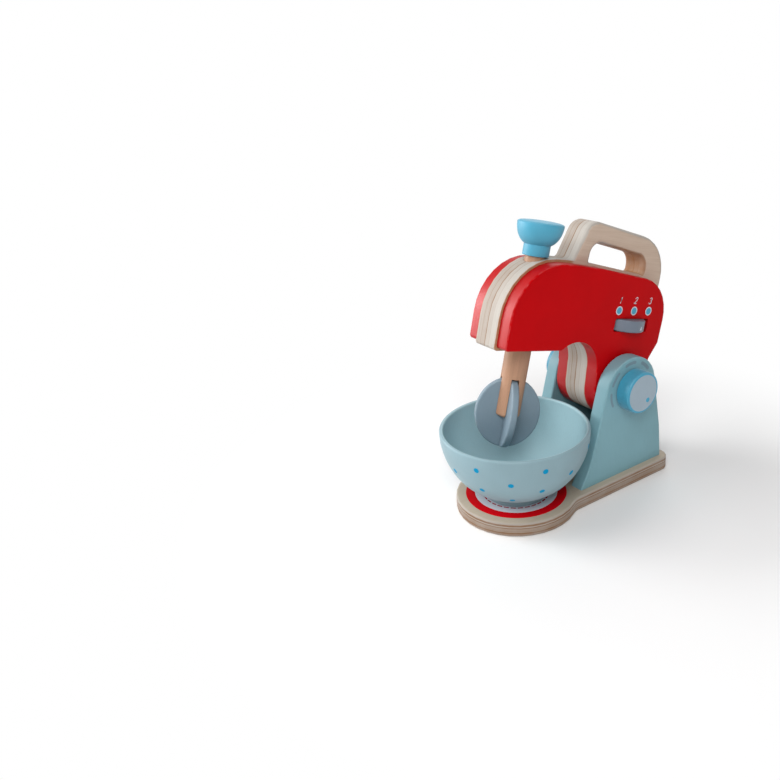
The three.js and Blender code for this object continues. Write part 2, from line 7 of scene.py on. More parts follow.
import json
import math

import bmesh
import bpy
from mathutils import Matrix, Vector
from mathutils.bvhtree import BVHTree


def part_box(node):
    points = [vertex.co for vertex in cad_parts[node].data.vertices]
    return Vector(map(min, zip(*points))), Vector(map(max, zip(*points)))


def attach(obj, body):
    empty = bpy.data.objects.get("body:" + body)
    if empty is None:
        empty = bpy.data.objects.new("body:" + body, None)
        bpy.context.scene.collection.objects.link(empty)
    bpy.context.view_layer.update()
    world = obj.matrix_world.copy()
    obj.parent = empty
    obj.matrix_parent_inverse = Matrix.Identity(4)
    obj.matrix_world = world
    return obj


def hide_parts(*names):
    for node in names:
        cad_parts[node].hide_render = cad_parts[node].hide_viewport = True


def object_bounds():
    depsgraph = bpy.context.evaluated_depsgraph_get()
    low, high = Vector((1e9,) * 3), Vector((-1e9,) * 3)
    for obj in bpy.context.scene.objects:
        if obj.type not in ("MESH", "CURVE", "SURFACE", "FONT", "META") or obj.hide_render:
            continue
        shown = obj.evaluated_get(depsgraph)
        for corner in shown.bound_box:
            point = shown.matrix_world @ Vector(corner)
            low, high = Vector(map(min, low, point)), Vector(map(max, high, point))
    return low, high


bl_info = {
    "name": "Toy mixer looks",
    "version": (1, 0, 0),
    "blender": (4, 5, 0),
    "location": "View3D > Sidebar > Toy mixer",
    "description": "Finishes, printed marks and a plain studio for the packed toy mixer",
    "category": "Object",
}

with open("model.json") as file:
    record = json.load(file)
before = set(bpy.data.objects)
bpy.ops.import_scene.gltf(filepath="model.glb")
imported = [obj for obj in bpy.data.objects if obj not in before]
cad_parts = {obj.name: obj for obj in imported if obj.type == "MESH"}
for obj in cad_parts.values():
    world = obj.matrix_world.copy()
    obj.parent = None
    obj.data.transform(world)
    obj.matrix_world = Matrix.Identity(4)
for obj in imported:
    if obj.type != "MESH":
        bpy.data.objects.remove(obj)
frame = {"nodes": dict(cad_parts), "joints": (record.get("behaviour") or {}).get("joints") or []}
cad_low, cad_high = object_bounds()

MILLIMETRE = 0.001

# Directions
ACROSS = (1, 0, 0)      # towards the switch side
REAR = (0, 1, 0)
FRONT = (0, -1, 0)
UP = (0, 0, 1)

# Meshes
FILM = 0.00006          # how far a printed mark stands over the paint
WELD = 0.000002         # corners of CAD facets that are nearer than this are joined
CAD_FOLD = 50           # degrees; an edge of a CAD mesh that folds more stays sharp
CREASE = 40             # the same for a mesh that is made here
ON_AXIS = 1e-7          # a smaller radius is a point on the axis
TURNED_STEPS = 128      # points round a turned piece or a wide ring
CAP_STEPS = 6           # steps round the end of a pen stroke
WALL_STEPS = 44         # steps up the bowl's wall
DISC_TURN = 60          # degrees; the crossed discs' turn about the shaft at rest

# Heights of the bump in each finish
PAINT_RELIEF = 0.00005
PLYWOOD_RELIEF = 0.00008
TURNED_RELIEF = 0.00006
ZINC_RELIEF = 0.00001
FIBRE_RELIEF = 0.00004
INK_RELIEF = 0.00002

# Tables of layers and marks
BASE_LAYERS = (         # thickness in mm and darkness of the layers at the edge of the base, from below
    (2.1, 0.6), (1.6, 0.9), (0.5, 0.4), (0.4, 0.8), (2.4, 0.55),
    (0.7, 1.0), (1.0, 0.25), (1.7, 0.9), (1.6, 0.25))
CORE_LAYERS = (         # the same of the head's middle layer, from the far side to the switch side
    (1.2, 0.1), (3.8, 0.3), (0.6, 0.7), (4.4, 0.34), (0.8, 0.95),
    (3.9, 0.12), (0.5, 0.4), (5.4, 0.0), (1.4, 0.05))
DIAL_DASHES = (         # start and stop in degrees, and width in mm, of each dash beside a dial
    (204, 176, 2.2), (157, 130, 2.4), (106, 81, 2.6), (59, 35, 2.8))
DOT_ROWS = (            # heights over the bowl's foot of the dots in one column, and in the next
    (0.0492, 0.0284), (0.0382, 0.0184))

# Places that the packed part gives
joints = {joint["name"]: joint for joint in frame["joints"]}
pivot = Vector(joints["head_tilt"]["pos_m"])
beater_centre = Vector(joints["beater_spin"]["pos_m"])
beater_axis = Vector(joints["beater_spin"]["axis"]).normalized()
rest_tilt = math.atan2(beater_axis.y, beater_axis.z)
head_place = Matrix.Translation(pivot) @ Matrix.Rotation(-rest_tilt, 4, "X")
beater_reach = (head_place.inverted() @ beater_centre).y
beater_place = head_place @ Matrix.Translation((0, beater_reach, 0))
head_rear = head_place.to_3x3() @ Vector(REAR)
disc_turn = Matrix.Rotation(math.radians(DISC_TURN), 3, "Z")
wheel_centre = head_place.inverted() @ Vector(joints["switch_turn"]["pos_m"])
base_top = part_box("base_board")[1].z
panel_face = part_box("stand_side_right")[1].x
head_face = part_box("head_side_right")[1].x


def extent(node, place):
    """Lowest and highest corner of a CAD node in the frame of place."""
    inverse = place.inverted()
    points = [inverse @ vertex.co for vertex in frame["nodes"][node].data.vertices]
    low = Vector(min(point[i] for point in points) for i in range(3))
    high = Vector(max(point[i] for point in points) for i in range(3))
    return low, high


def ink(code):
    """A colour as the screen shows it, such as B20C15, in Blender's linear values."""
    channels = [int(code[i:i + 2], 16) / 255 for i in (0, 2, 4)]
    return tuple(c / 12.92 if c <= 0.04045 else ((c + 0.055) / 1.055) ** 2.4 for c in channels)


def colour(name, description, code):
    return bpy.props.FloatVectorProperty(
        name=name, description=description, subtype="COLOR", size=3, min=0, max=1, default=ink(code))


def length(name, description, millimetres):
    return bpy.props.FloatProperty(
        name=name, description=description, subtype="DISTANCE", unit="LENGTH", min=0,
        default=millimetres * MILLIMETRE)


def angle(name, description, degrees):
    return bpy.props.FloatProperty(
        name=name, description=description, subtype="ANGLE", default=math.radians(degrees))


def location(name, description, metres):
    return bpy.props.FloatVectorProperty(
        name=name, description=description, subtype="XYZ", unit="LENGTH", size=3, default=metres)


def power(name, description, watts):
    return bpy.props.FloatProperty(name=name, description=description, unit="POWER", min=0, default=watts)


class MixerColours(bpy.types.PropertyGroup):
    """Colours of the paints, woods and inks."""

    red: colour("Red paint", "The two outer layers of the head", "C4020A")
    stand_blue: colour("Stand paint", "The panels of the stand and their spacer", "80ABB5")
    bowl_blue: colour("Bowl paint", "The bowl's outside", "8EAAB3")
    # painted light: a lighter tone for the bowl's inside, standing in for the light that falls into it
    bowl_inside_lit: colour("Bowl paint, inside", "The bowl's inside, in a livelier tone", "A2C4CC")
    teal: colour("Teal paint", "The knob and the rims of the dials", "3C9BB9")
    grey: colour("Grey paint", "The beater discs", "7D919E")
    switch: colour("Switch paint", "The thumbwheel", "737D8A")
    veneer: colour("Face veneer", "The side faces of the handle", "CEB9A7")
    base_veneer: colour("Base veneer", "The top and underside of the base board", "B8AC9B")
    veneer_dark: colour("Veneer grain", "The darker lines in the face veneer", "AE9179")
    ply: colour("Plywood edge", "The long-grained layers at an edge", "BCB6AE")
    ply_dark: colour("Plywood end grain", "The cross-grained layers and glue lines at an edge", "845C38")
    burnt: colour("Burnt edge", "Where the cutter has browned the plywood", "A36C38")
    beech: colour("Beech", "The beater shaft, the dowels and the axle", "B0866A")
    steel: colour("Zinc", "Screws and the pin of the wheel", "B9BBBE")
    fibre: colour("Fibre", "The two washers", "3F3B38")
    print_red: colour("Red ink", "The ring on the base", "CE0312")
    print_stitch: colour("Dark red ink", "The dashed circle under the bowl", "A5142B")
    print_white: colour("White ink", "The round place under the bowl, and the numbers", "D5D8E0")
    print_blue: colour("Blue ink", "Dots on the bowl", "0E92C0")
    print_light: colour("Light blue ink", "The marks over the switch and on the dials", "58A9C8")
    print_grey: colour("Grey ink", "Dashes round the dials", "7F97A2")
    dial_face: colour("Dial face", "The pale round face of the dials", "A8B9C5")


class MixerMarks(bpy.types.PropertyGroup):
    """Sizes of the printed marks."""

    ring_outer: length("Ring, outside", "Outer radius of the red ring on the base", 41.3)
    ring_inner: length("Ring, inside", "Inner radius of the red ring on the base", 33.8)
    stitch_radius: length("Dashed circle", "Radius of the dashed circle under the bowl", 27)
    stitch_width: length("Dash width", "Width of the dashes of that circle", 1.2)
    stitch_count: bpy.props.IntProperty(
        name="Dashes", description="Dashes in the circle under the bowl", default=30, min=3)
    face_margin: length("Face margin", "From a dial's edge to the outside of its blue line", 1.3)
    face_line: length("Face line", "Width of the blue line round a dial's face", 0.9)
    pointer_radius: length("Pointer dot", "Radius of the dot on a dial", 2)
    pointer_reach: length("Pointer place", "From a dial's middle to its dot", 9.2)
    pointer_angle: angle("Pointer angle", "From the rear towards the top", -54)
    dash_reach: length("Dial dashes", "From the axle to the dashes on the stand", 22.5)
    lamp_radius: length("Lamp mark", "Outer radius of the marks over the switch", 3.6)
    lamp_inner: length("Lamp mark, blue", "Radius of their blue middle", 2.7)
    lamp_first: length("First lamp mark", "From the axle forward to the first mark", 18.7)
    lamp_pitch: length("Lamp pitch", "From one mark to the next", 17.3)
    lamp_height: length("Lamp height", "From the axle up to the marks", 61.5)
    digit_height: length("Number height", "Height of the numbers over the switch", 5)
    digit_width: length("Number stroke", "Width of the pen of the numbers", 0.62)
    digit_lift: length("Number lift", "From a mark up to the middle of its number", 8.5)
    digit_slant: bpy.props.FloatProperty(
        name="Number slant", description="Lean of the numbers for each unit of height", default=0.22)
    arrow_width: length("Arrow width", "Width of the arrow on the thumbwheel", 2.5)
    arrow_height: length("Arrow height", "Height of that arrow", 3.3)
    arrow_foot: length("Arrow foot", "From the wheel's lower face to the arrow", 2.4)
    arrow_turn: angle("Arrow turn", "From the switch side towards the rear", 11.6)
    bowl_dot: length("Bowl dot", "Radius of the dots on the bowl", 2.2)
    dot_columns: bpy.props.IntProperty(
        name="Dot columns", description="Columns of dots round the bowl", default=14, min=2)
    dot_turn: angle("First column", "Turn of the first column of dots", -17.1)


class MixerForms(bpy.types.PropertyGroup):
    """Sizes of the turned pieces that the packed part doesn't give."""

    bowl_wall: length("Bowl wall", "Thickness of the bowl", 3.3)
    bowl_foot_radius: length("Bowl foot", "Radius of the bowl's foot", 25.5)
    bowl_foot_height: length("Bowl foot height", "Height of the bowl's foot", 3.5)
    bowl_swell: length("Bowl swell", "Radius of the ring from which the wall swells", 13)
    dial_round: length("Dial edge", "Rounding of a dial's front edge", 1.6)
    stem_radius: length("Knob neck", "Radius of the knob's neck", 10.1)
    stem_height: length("Knob neck height", "Height of the knob's neck", 8.4)
    cup_inset: length("Knob cup inset", "From the packed knob's edge in to the cup's widest place", 0.4)
    cup_heart: length("Knob cup heart", "Radius of the ring from which the cup swells", 6)
    cup_swell: length("Knob swell", "Height over which the cup widens", 15.5)
    cup_round: length("Knob edge", "Rounding of the cup's upper edge", 1.1)
    cup_crown: length("Knob crown", "Rise of the knob's top", 1.5)
    handle_foot: length("Handle foot", "From the axle forward to the front of the handle", 67.5)
    grip_height: length("Grip height", "From the axle up to the finger gap's top", 112.8)
    grip_floor: length("Grip floor", "From the axle up to the lowest place in the finger gap", 76)
    grip_rear: length("Grip rear", "From the axle back to the rear of the finger gap", 14)
    socket_radius: length("Sockets", "Radius of the sockets in the knob and the dials", 8.1)
    socket_depth: length("Socket depth", "Depth of the socket in the knob", 16)
    dial_socket: length("Dial socket", "Radius of the socket in a dial", 6.3)
    dial_socket_depth: length("Dial socket depth", "Depth of the socket in a dial", 8)


class MixerStage(bpy.types.PropertyGroup):
    """The camera and the lamps."""

    camera: location("Camera", "Place of the camera", (0.45205, -0.3695, 0.36985))
    forward: bpy.props.FloatVectorProperty(
        name="Forward", description="Direction in which the camera looks", subtype="XYZ", size=3,
        default=(-0.792967, 0.454552, -0.405693))
    down: bpy.props.FloatVectorProperty(
        name="Down", description="Direction of the picture's lower edge", subtype="XYZ", size=3,
        default=(0.300913, -0.286799, -0.909504))
    lens: bpy.props.FloatProperty(
        name="Lens", description="Focal length on a 36 mm sensor", default=37.308, min=10)
    key_place: location("Key lamp", "Place of the low soft lamp beside the nose", (-0.95, -0.65, 0.4))
    key_size: length("Key size", "Diameter of the key lamp", 600)
    key_power: power("Key power", "Power of the key lamp", 8.4)
    front_place: location("Front lamp", "Place of the soft lamp over the bowl", (-0.45, -0.62, 1.0))
    front_size: length("Front size", "Diameter of the front lamp", 800)
    front_power: power("Front power", "Power of the front lamp", 4.5)
    side_place: location("Side lamp", "Place of the high soft lamp on the switch side", (0.65, -0.6, 1.0))
    side_size: length("Side size", "Diameter of the side lamp", 800)
    side_power: power("Side power", "Power of the side lamp", 9.2)
    back_place: location("Back lamp", "Place of the soft lamp behind", (-0.6, 0.8, 0.9))
    back_size: length("Back size", "Diameter of the back lamp", 800)
    back_power: power("Back power", "Power of the back lamp", 3)
    ambient: bpy.props.FloatProperty(
        name="Ambient", description="Plain light from all sides", default=0.25, min=0)
    floor_near: length("Floor, near", "Within this distance the floor is plain paper", 160)
    floor_far: length("Floor, far", "Beyond this distance the floor is seen white", 330)


# Materials


class Wire:
    """A socket of a node. Arithmetic on wires adds the Math nodes."""

    def __init__(self, nodes, socket):
        self.nodes = nodes
        self.socket = socket

    def output(self, name):
        return Wire(self.nodes, self.socket.node.outputs[name])

    def maths(self, operation, first, *others):
        return self.nodes.add("ShaderNodeMath", {"operation": operation}, dict(enumerate((first, *others))))

    def __add__(self, other):
        return self.maths("ADD", self, other)

    def __sub__(self, other):
        return self.maths("SUBTRACT", self, other)

    def __rsub__(self, other):
        return self.maths("SUBTRACT", other, self)

    def __mul__(self, other):
        return self.maths("MULTIPLY", self, other)

    def __truediv__(self, other):
        return self.maths("DIVIDE", self, other)

    def __abs__(self):
        return self.maths("ABSOLUTE", self)

    def __or__(self, other):
        """The larger of two masks."""
        return self.maths("MAXIMUM", self, other)

    __radd__ = __add__
    __rmul__ = __mul__


class Nodes:
    """The nodes of one tree."""

    def __init__(self, tree):
        self.tree = tree
        self.tree.nodes.clear()

    def add(self, kind, settings=None, sockets=None):
        """Adds one node, its settings or a ramp's stops first, then the values or wires of its sockets."""
        node = self.tree.nodes.new(kind)
        for key, value in (settings or {}).items():
            if key == "stops":
                ramp = node.color_ramp.elements
                for i, (position, level) in enumerate(value):
                    stop = ramp[i] if i < len(ramp) else ramp.new(position)
                    stop.position = position
                    stop.color = (level, level, level, 1)
            else:
                setattr(node, key, value)
        for key, value in (sockets or {}).items():
            if isinstance(value, Wire):
                self.tree.links.new(value.socket, node.inputs[key])
            else:
                node.inputs[key].default_value = value
        return Wire(self, node.outputs[0]) if node.outputs else None

    def seen_directly(self):
        """1 for what the camera, a gloss or a glass sees, and 0 for the light on a dull surface."""
        path = self.add("ShaderNodeLightPath")
        camera, gloss = path.output("Is Camera Ray"), path.output("Is Glossy Ray")
        return camera | gloss | path.output("Is Transmission Ray")


class Shader(Nodes):
    """The nodes of one material, in the object's own coordinates."""

    def __init__(self, name):
        self.material = bpy.data.materials.new(name)
        self.material.use_nodes = True
        super().__init__(self.material.node_tree)
        self.here = self.add("ShaderNodeTexCoord").output("Object")
        self.facing = self.here.output("Normal")

    def vector(self, operation, *values):
        return self.add("ShaderNodeVectorMath", {"operation": operation}, dict(enumerate(values)))

    def along(self, direction, vector=None):
        """How far a vector, or the place of the point, lies along a direction."""
        direction = direction if isinstance(direction, Wire) else tuple(direction)
        return self.vector("DOT_PRODUCT", vector or self.here, direction).output("Value")

    def steepness(self, direction):
        """1 on a face turned to the direction or away from it, and 0 on one along it."""
        return abs(self.along(direction, self.facing))

    def joined(self, across=0.0, along=0.0, through=0.0):
        """Three lengths as the coordinates of a texture."""
        return self.add("ShaderNodeCombineXYZ", {}, {"X": across, "Y": along, "Z": through})

    def stretched(self, scale):
        return self.vector("MULTIPLY", self.here, tuple(scale))

    def noise(self, scale, detail=2.0, coordinates=None):
        """Smooth noise with about scale waves in each unit of its coordinates."""
        noise = self.add("ShaderNodeTexNoise", {}, {
            "Vector": coordinates or self.here, "Scale": scale, "Detail": detail})
        return noise.output("Fac")

    def cells(self, scale, coordinates=None):
        """Distance to the middle of the nearest of scattered cells, about scale in each unit."""
        cells = self.add("ShaderNodeTexVoronoi", {}, {"Vector": coordinates or self.here, "Scale": scale})
        return cells.output("Distance")

    def ease(self, value, low, high):
        """0 below low, 1 above high, and smooth between them."""
        return self.add("ShaderNodeMapRange", {"interpolation_type": "SMOOTHSTEP"}, {
            "Value": value, "From Min": low, "From Max": high})

    def mix(self, mask, first, second):
        node = self.add("ShaderNodeMix", {"data_type": "RGBA"}, {
            0: mask, 6: opaque(first), 7: opaque(second)})
        return node.output(2)

    def finish(self, base, roughness, height, relief, specular=0.5, **sockets):
        """Joins colour, roughness and a bump of that relief into the surface, with its other sockets."""
        normal = self.add("ShaderNodeBump", {}, {"Strength": 1.0, "Distance": relief, "Height": height})
        surface = self.add("ShaderNodeBsdfPrincipled", {}, {
            "Base Color": base, "Roughness": roughness, "Normal": normal, "Specular IOR Level": specular,
            **sockets})
        self.add("ShaderNodeOutputMaterial", {}, {"Surface": surface})
        return self.material


def opaque(shade):
    """A colour with its alpha; wires pass through."""
    return shade if isinstance(shade, Wire) else (*tuple(shade)[:3], 1.0)


def lighter(shade, factor):
    return tuple(min(1.0, channel * factor) for channel in tuple(shade)[:3])


def towards(shade, other, share):
    return tuple(a + (b - a) * share for a, b in zip(tuple(shade)[:3], tuple(other)[:3]))


def painted(name, shade, grain=UP, sheet_axis=None, dullness=0.4, specular=0.3, edge_gloss=0.0, face=0.0,
            second=None, veil=0.0):
    """Satin paint on wood: faint mottling, raised grain, fine orange peel, nibs and paler broken edges,
    partly worn thin paint and partly a painted highlight.

    sheet_axis runs through a sheet, whose outer face lies as far out along it as face says. edge_gloss is the
    clear coat on the edges of that sheet, thickest where they face forward; where it is given, those edges
    are also painted darker as painted shade. second is another shade and a function that takes the shader and
    gives its mask. veil is the pale bloom of a chalky paint seen aslant.
    """
    s = Shader(name)
    drawn_out = 0.06        # how much closer the noise lies along the grain
    mottle = s.noise(20, 3)
    fibres = s.noise(1500, 3, s.stretched([drawn_out if share else 1 for share in grain]))
    peel = s.noise(950, 2)
    nibs = 1 - s.ease(s.cells(260), 0.03, 0.1)
    tone = s.mix(s.ease(mottle, 0.3, 0.7), lighter(shade, 0.94), lighter(shade, 1.04))
    if second:
        other, where = second
        tone = s.mix(where(s), tone, other)
    tone = s.mix(s.ease(fibres, 0.45, 0.8) * 0.16, tone, lighter(shade, 0.78))
    sockets = {"Sheen Weight": veil, "Sheen Roughness": 0.4}
    if sheet_axis is not None:
        steep = s.steepness(sheet_axis)
        broken = s.ease(steep, 0.08, 0.4) * (1 - s.ease(steep, 0.8, 0.985))
        # painted highlight: the rounded edges are painted paler, partly as worn thin paint and partly as a
        # highlight
        worn_and_highlit = broken * s.ease(s.noise(180, 3), 0.35, 0.75)
        tone = s.mix(worn_and_highlit * 0.35, tone, towards(shade, (1, 1, 1), 0.16))
        if edge_gloss:
            coat_deep, coat_end = 0.0011, 0.0004    # depths under the outer face
            edge = 1 - s.ease(abs(s.along(sheet_axis)), face - coat_deep, face - coat_end)
            # painted shade: the coated edges are painted darker than the faces
            tone = s.mix(edge * 0.5, tone, lighter(shade, 0.6))
            forward = s.ease(s.along(FRONT, s.facing), 0.3, 0.95)
            sockets |= {"Coat Weight": edge * edge_gloss * (0.25 + forward * 0.75), "Coat Roughness": 0.4}
    roughness = dullness + (mottle - 0.5) * 0.14 + fibres * 0.06
    height = fibres * 0.35 + peel * 0.5 + nibs * 0.2
    return s.finish(tone, roughness, height, PAINT_RELIEF, specular, **sockets)


def face_veneer(s, shade, dark, grain_axis, across_axis):
    """Colour and height of a face veneer whose grain runs along grain_axis."""
    along = s.along(grain_axis)
    across = s.along(across_axis) + (s.noise(14, 2) - 0.5) * 0.012
    bands = s.noise(1, 3, s.joined(across * 260, along * 9))
    fine = s.noise(1, 3, s.joined(across * 1500, along * 34))
    pores = s.noise(1, 2, s.joined(across * 3800, along * 220))
    tone = s.mix(s.ease(bands, 0.35, 0.7) * 0.16, shade, dark)
    tone = s.mix(s.ease(fine, 0.45, 0.75) * 0.28, tone, dark)
    tone = s.mix(s.ease(pores, 0.6, 0.78) * 0.25, tone, lighter(dark, 0.8))
    return tone, pores * 0.5 + fine * 0.3


def layer_stops(layers):
    """Stops of a ramp that steps through the layers of a sheet, each a thickness and a darkness."""
    widest_blend = 0.12     # in mm, as the thicknesses
    whole = sum(thickness for thickness, _ in layers)
    stops, reached = [], 0.0
    for thickness, darkness in layers:
        blend = min(widest_blend, thickness * 0.3)
        stops += [((reached + blend) / whole, darkness), ((reached + thickness - blend) / whole, darkness)]
        reached += thickness
    return stops


def plywood_edge(s, colours, depth, layers, along, across):
    """Colour and height of the cut edge of a sheet: uneven layers, glue lines and streaks of the grain.

    depth runs from 0 to 1 through the sheet.
    """
    wavering = depth + (s.noise(26, 2) - 0.5) * 0.03
    ramp = s.add("ShaderNodeValToRGB", {"stops": layer_stops(layers)}, {"Fac": wavering}).output("Color")
    first_channel = (1, 0, 0)
    darkness = s.along(first_channel, ramp)
    count = float(len(layers))
    streaks = s.noise(1, 3, s.joined(depth * count * 4, along * 38, across * 38))
    threads = s.noise(1, 2, s.joined(depth * count * 13, along * 80, across * 80))
    patches = s.ease(s.noise(70, 3), 0.3, 0.7)
    tone = s.mix(darkness * (0.75 + patches * 0.25), colours.ply, colours.ply_dark)
    streaked = s.ease(streaks, 0.45, 0.7) * (0.1 + darkness * 0.25)
    tone = s.mix(streaked, tone, lighter(colours.ply_dark, 0.85))
    threaded = s.ease(threads, 0.56, 0.74) * (0.14 + darkness * 0.2)
    tone = s.mix(threaded, tone, lighter(colours.ply_dark, 0.6))
    return tone, streaks * 0.4 - s.ease(darkness, 0.4, 0.9) * 0.4


def plywood(name, colours, veneer, sheet_axis, low, high, layers, grain_axis, across_axis, browned=None):
    """Varnished plywood: veneer on its two faces and its crossed layers at the edges.

    low and high are its two faces along sheet_axis. browned takes the shader and the mask of those faces, and
    gives the mask of what the cutter has burnt.
    """
    s = Shader(name)
    face = s.ease(s.steepness(sheet_axis), 0.8, 0.96)
    face_tone, face_height = face_veneer(s, veneer, colours.veneer_dark, grain_axis, across_axis)
    depth = (s.along(sheet_axis) - low) / (high - low)
    along, across = s.along(grain_axis), s.along(across_axis)
    edge_tone, edge_height = plywood_edge(s, colours, depth, layers, along, across)
    tone = s.mix(face, edge_tone, face_tone)
    if browned:
        scorch = browned(s, face) * (0.55 + s.noise(240, 3) * 0.6)
        tone = s.mix(scorch, tone, colours.burnt)
    roughness = 0.5 + s.noise(60, 2) * 0.14
    height = edge_height * (1 - face) + face_height * face
    return s.finish(tone, roughness, height, PLYWOOD_RELIEF, specular=0.25)


def turned_wood(name, shade, axis, side):
    """Varnished beech turned along axis: straight grain, short dark rays and faint turning rings."""
    s = Shader(name)
    along = s.along(axis)
    across, through = s.along(side), s.along(Vector(axis).cross(side))
    grain = s.noise(1, 4, s.joined(across * 330, through * 330, along * 16))
    rays = 1 - s.ease(s.cells(1, s.joined(across * 1300, through * 1300, along * 210)), 0.1, 0.28)
    rings = s.noise(1, 1, s.joined(along * 2400))
    tone = s.mix(s.ease(grain, 0.35, 0.66) * 0.42, lighter(shade, 1.08), lighter(shade, 0.76))
    tone = s.mix(rays * 0.32, tone, lighter(shade, 0.55))
    height = grain * 0.3 + rings * 0.35 - rays * 0.3
    return s.finish(tone, 0.46 + grain * 0.12, height, TURNED_RELIEF)


def brushed_zinc(name, shade):
    """Zinc plated steel with faint drawn lines and dull patches."""
    s = Shader(name)
    lines = s.noise(1, 2, s.stretched((700, 700, 9000)))
    patches = s.noise(140, 3)
    tone = s.mix(s.ease(patches, 0.3, 0.7), lighter(shade, 0.8), lighter(shade, 1.06))
    return s.finish(tone, 0.3 + patches * 0.2, lines, ZINC_RELIEF, Metallic=1.0)


def fibre_sheet(name, shade):
    """Dark pressed fibre with pale flecks."""
    s = Shader(name)
    flecks = 1 - s.ease(s.cells(900), 0.08, 0.22)
    tone = s.mix(flecks * 0.35, shade, lighter(shade, 2.2))
    return s.finish(tone, 0.75 + flecks * 0.1, s.noise(1800, 3), FIBRE_RELIEF)


def printed(name, shade):
    """Screen ink: an even satin film with the faint weave of the screen and a few thin places."""
    s = Shader(name)
    weave = s.noise(1900, 1)
    thin = s.ease(s.noise(320, 3), 0.35, 0.8)
    tone = s.mix(thin * 0.2, shade, lighter(shade, 0.86))
    return s.finish(tone, 0.5 + weave * 0.12, weave, INK_RELIEF, specular=0.05)


# Meshes


def even_shading():
    """The node group that joins a CAD mesh's facets and shades them as the smooth faces they stand for."""
    name = "even_shading"
    if name in bpy.data.node_groups:
        return bpy.data.node_groups[name]
    group = bpy.data.node_groups.new(name, "GeometryNodeTree")
    group.interface.new_socket("Geometry", in_out="INPUT", socket_type="NodeSocketGeometry")
    group.interface.new_socket("Geometry", in_out="OUTPUT", socket_type="NodeSocketGeometry")
    n = Nodes(group)
    given = n.add("NodeGroupInput")
    bare = n.add("GeometryNodeRemoveAttribute", {}, {"Geometry": given, "Name": "custom_normal"})
    joined = n.add("GeometryNodeMergeByDistance", {}, {"Geometry": bare, "Distance": WELD})
    smooth = n.add("GeometryNodeSetShadeSmooth", {}, {"Geometry": joined})
    fold = n.add("GeometryNodeInputMeshEdgeAngle").output("Unsigned Angle")
    steep = n.add("FunctionNodeCompare", {"data_type": "FLOAT", "operation": "GREATER_THAN"}, {
        0: fold, 1: math.radians(CAD_FOLD)})
    creased = n.add("GeometryNodeSetShadeSmooth", {"domain": "EDGE"}, {
        "Geometry": smooth, "Selection": steep, "Shade Smooth": False})
    n.add("NodeGroupOutput", {}, {0: creased})
    return group


def dress(material, *nodes):
    """Gives CAD nodes their material and even shading."""
    for node in nodes:
        solid = frame["nodes"][node]
        solid.data.materials.clear()
        solid.data.materials.append(material)
        shading = solid.modifiers.new("even_shading", "NODES")
        shading.node_group = even_shading()
        weights = solid.modifiers.new("face_weights", "WEIGHTED_NORMAL")
        weights.mode = "FACE_AREA"
        weights.keep_sharp = True


def new_piece(name, shape, material, body):
    """Turns a bmesh into a smooth piece with sharp creases that rides on a body."""
    bmesh.ops.recalc_face_normals(shape, faces=shape.faces)
    mesh = bpy.data.meshes.new(name)
    shape.to_mesh(mesh)
    shape.free()
    mesh.shade_smooth()
    mesh.set_sharp_from_angle(angle=math.radians(CREASE))
    mesh.materials.append(material)
    piece = bpy.data.objects.new(name, mesh)
    bpy.context.scene.collection.objects.link(piece)
    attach(piece, body)
    return piece


def circle(centre, radius, steps=40):
    """Points round a circle."""
    turns = [math.tau * i / steps for i in range(steps)]
    return [(centre[0] + radius * math.cos(t), centre[1] + radius * math.sin(t)) for t in turns]


def oval(centre, across, up, start, stop, steps):
    """Points along an oval from one angle to another, in degrees."""
    angles = [math.radians(start + (stop - start) * i / steps) for i in range(steps + 1)]
    return [(centre[0] + across * math.cos(a), centre[1] + up * math.sin(a)) for a in angles]


def arc(centre, radius, start, stop, steps):
    """Points along an arc from one angle to another, in degrees."""
    return oval(centre, radius, radius, start, stop, steps)


def lathe(profile, place, steps=TURNED_STEPS):
    """A turned solid about the Z of place, from a profile of (radius, height) points from axis to axis."""
    shape = bmesh.new()
    rings = []
    for radius, height in profile:
        around = [(0, 0)] if radius < ON_AXIS else circle((0, 0), radius, steps)
        rings.append([shape.verts.new(place @ Vector((x, y, height))) for x, y in around])
    for lower, upper in zip(rings, rings[1:]):
        for i in range(steps):
            j = (i + 1) % steps
            corners = [ring[k % len(ring)] for ring, k in ((lower, i), (lower, j), (upper, j), (upper, i))]
            unique = list(dict.fromkeys(corners))
            if len(unique) > 2:
                shape.faces.new(unique)
    return shape


def bridge(shape, first, second):
    """Joins two closed loops of as many corners with faces."""
    for i, corner in enumerate(first):
        j = (i + 1) % len(first)
        shape.faces.new((corner, first[j], second[j], second[i]))


def film_slab(shape, outline, settle):
    """Adds a thin closed slab over the outline, a list of flat points that settle puts on a surface."""
    low = [shape.verts.new(settle(point, -FILM)) for point in outline]
    high = [shape.verts.new(settle(point, FILM)) for point in outline]
    shape.faces.new(high)
    shape.faces.new(low[::-1])
    bridge(shape, low, high)


def film_ring(shape, centre, inner, outer, settle, steps=96):
    """Adds a thin closed ring round a flat centre."""
    loops = [
        [shape.verts.new(settle(point, rise)) for point in circle(centre, radius, steps)]
        for radius, rise in ((inner, -FILM), (outer, -FILM), (outer, FILM), (inner, FILM))
    ]
    for first, second in zip(loops, loops[1:] + loops[:1]):
        bridge(shape, first, second)


def film_stroke(shape, line, width, settle):
    """Adds a pen stroke of an even width with round ends along a line of flat points."""
    points = [Vector(point) for point in line]
    ends = []
    for i, point in enumerate(points):
        heading = (points[min(i + 1, len(points) - 1)] - points[max(i - 1, 0)]).normalized()
        ends.append((point, Vector((-heading.y, heading.x)), heading))
    half = width / 2
    left = [point + across * half for point, across, _ in ends]
    right = [point - across * half for point, across, _ in ends]

    def cap(end, sign):
        point, across, heading = end
        turns = [math.pi * k / CAP_STEPS for k in range(1, CAP_STEPS)]
        return [point + sign * (across * math.cos(t) + heading * math.sin(t)) * half for t in turns]

    film_slab(shape, left + cap(ends[-1], 1) + right[::-1] + cap(ends[0], -1), settle)


